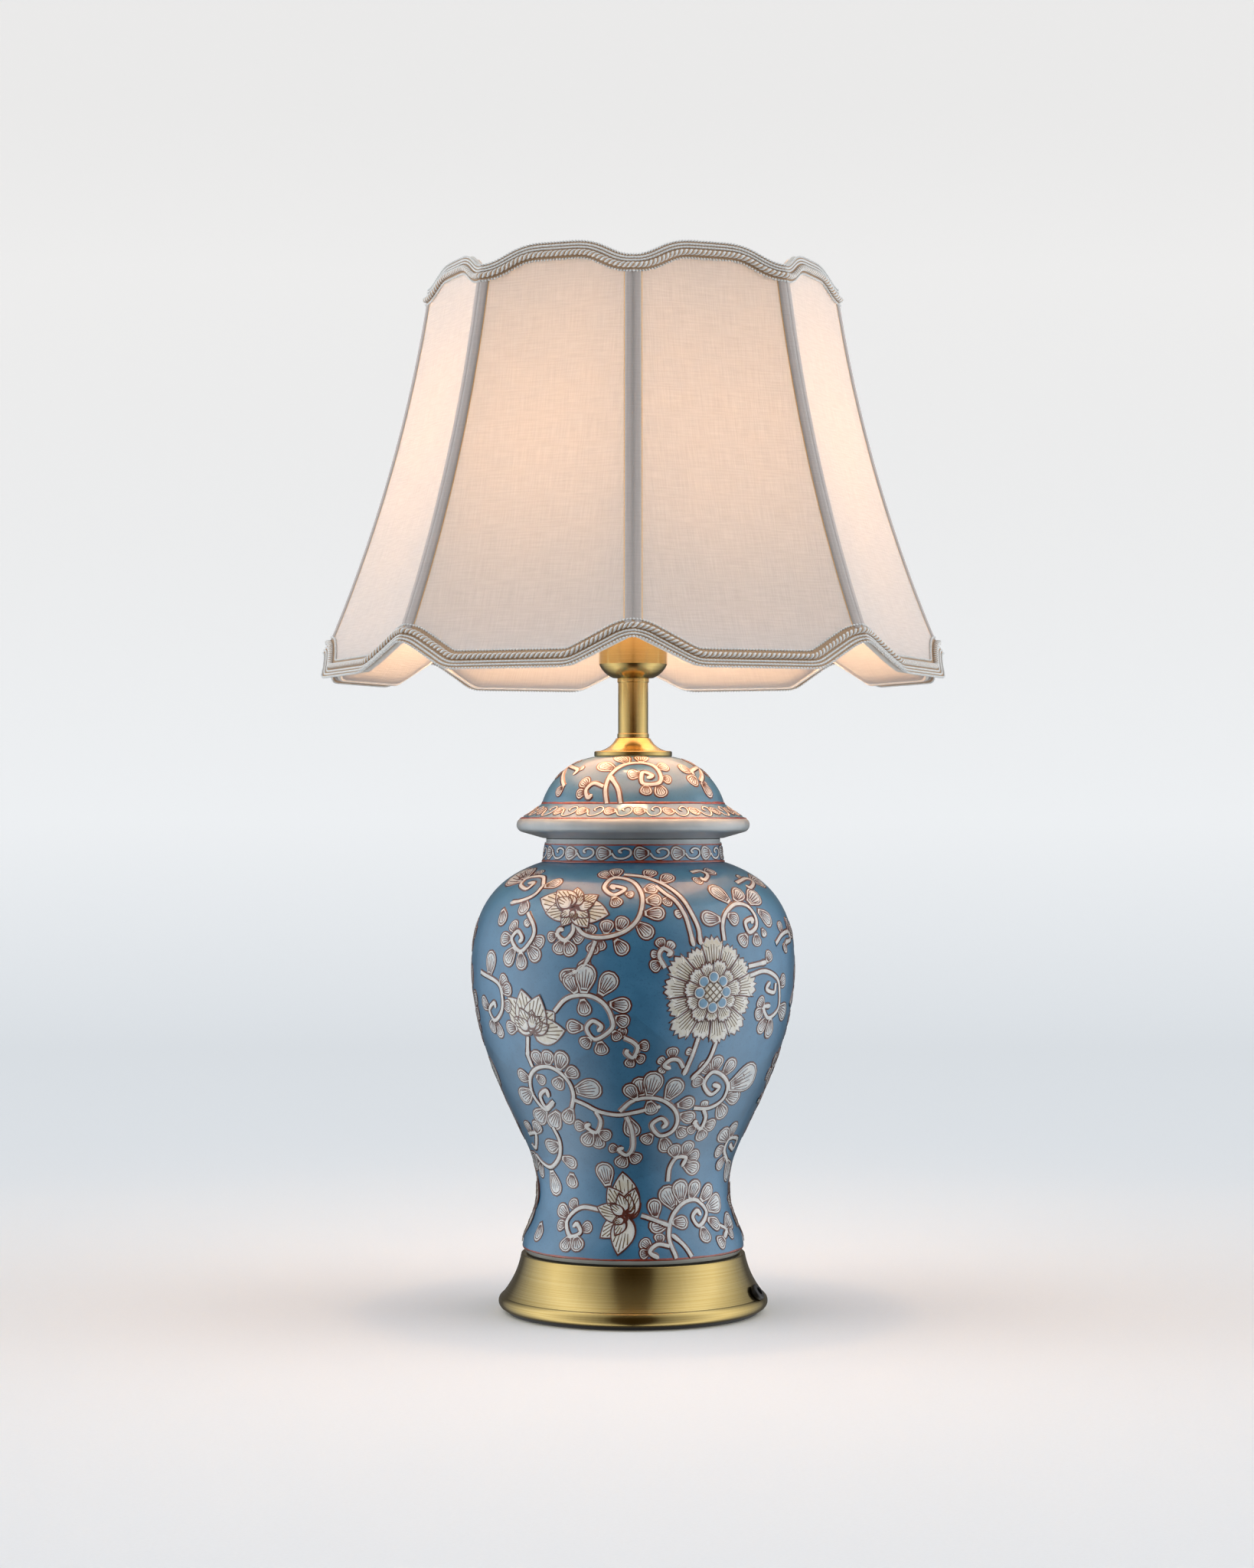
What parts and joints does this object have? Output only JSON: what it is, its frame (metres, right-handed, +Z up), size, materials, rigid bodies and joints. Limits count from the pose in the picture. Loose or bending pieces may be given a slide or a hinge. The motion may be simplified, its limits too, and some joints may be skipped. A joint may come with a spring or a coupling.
{
  "type": "table lamp",
  "caption": "Table lamp with a lidded blue-and-white ceramic jar on a flared brass base, a screw lampholder and a scalloped eight-sided cloth bell shade.",
  "frame": {"origin": "on the lamp's axis at the underside of the foot pad", "axes": "+Z up along the lamp's axis, -Y towards the front, +X to the right seen from the front"},
  "size_m": [0.3964, 0.3964, 0.6567],
  "materials": {
    "brass": "satin brushed",
    "pad_rubber": "matte",
    "black_plastic": "satin",
    "steel": "zinc plated",
    "contact_brass": "plain",
    "glaze": "gloss, enamelled",
    "porcelain": "matte",
    "lead_sheath": "matte",
    "white_wire": "satin",
    "bulb_glass": "opal, lit",
    "bulb_metal": "plain",
    "shade_cloth": "linen weave",
    "shade_tape": "linen weave",
    "shade_braid": "braided",
    "lining_cloth": "fine weave"
  },
  "bodies": {
    "lamp": {"base_shell": "brass", "vase_cap": "brass", "neck_tube": "brass", "socket_cup": "brass", "foot_pad": "pad_rubber", "jar_gasket": "pad_rubber", "lid_gasket": "pad_rubber", "cord_gland": "black_plastic", "gland_nut": "black_plastic", "holder_dome": "black_plastic", "holder_skirt": "black_plastic", "rod_washer_lower": "steel", "rod_nut_lower": "steel", "rod_nut_upper": "steel", "threaded_rod": "steel", "terminal_screws": "steel", "screw_shell": "contact_brass", "centre_contact": "contact_brass", "lead_cores": "contact_brass", "jar": "glaze", "lid": "glaze", "holder_insert": "porcelain", "inner_lead": "lead_sheath"},
    "shade": {"fitter_ring": "white_wire", "fitter_arms": "white_wire", "top_wire": "white_wire", "bottom_wire": "white_wire", "top_braid": "shade_braid", "bottom_braid": "shade_braid", "shade_lining": "lining_cloth", "shade_panel_1": "shade_cloth", "shade_panel_2": "shade_cloth", "shade_panel_3": "shade_cloth", "shade_panel_4": "shade_cloth", "shade_panel_5": "shade_cloth", "shade_panel_6": "shade_cloth", "shade_panel_7": "shade_cloth", "shade_panel_8": "shade_cloth", "rib_tape_1": "shade_tape", "rib_tape_2": "shade_tape", "rib_tape_3": "shade_tape", "rib_tape_4": "shade_tape", "rib_tape_5": "shade_tape", "rib_tape_6": "shade_tape", "rib_tape_7": "shade_tape", "rib_tape_8": "shade_tape", "rib_wire_1": "white_wire", "rib_wire_2": "white_wire", "rib_wire_3": "white_wire", "rib_wire_4": "white_wire", "rib_wire_5": "white_wire", "rib_wire_6": "white_wire", "rib_wire_7": "white_wire", "rib_wire_8": "white_wire"},
    "clamp_ring": {"shade_ring": "black_plastic"},
    "bulb": {"bulb_glass": "bulb_glass", "bulb_cap": "bulb_metal", "bulb_insulator": "black_plastic", "bulb_tip": "contact_brass"}
  },
  "joints": [
    {"name": "shade_turn", "type": "hinge", "parent": "lamp", "child": "shade", "pos_m": [0, 0, 0.44], "axis": [0, 0, 1], "continuous": true},
    {"name": "ring_turn", "type": "hinge", "parent": "lamp", "child": "clamp_ring", "pos_m": [0, 0, 0.444], "axis": [0, 0, 1], "range_deg": [0, 1080]},
    {"name": "bulb_turn", "type": "hinge", "parent": "lamp", "child": "bulb", "pos_m": [0, 0, 0.44], "axis": [0, 0, 1], "range_deg": [0, 1080]}
  ]
}
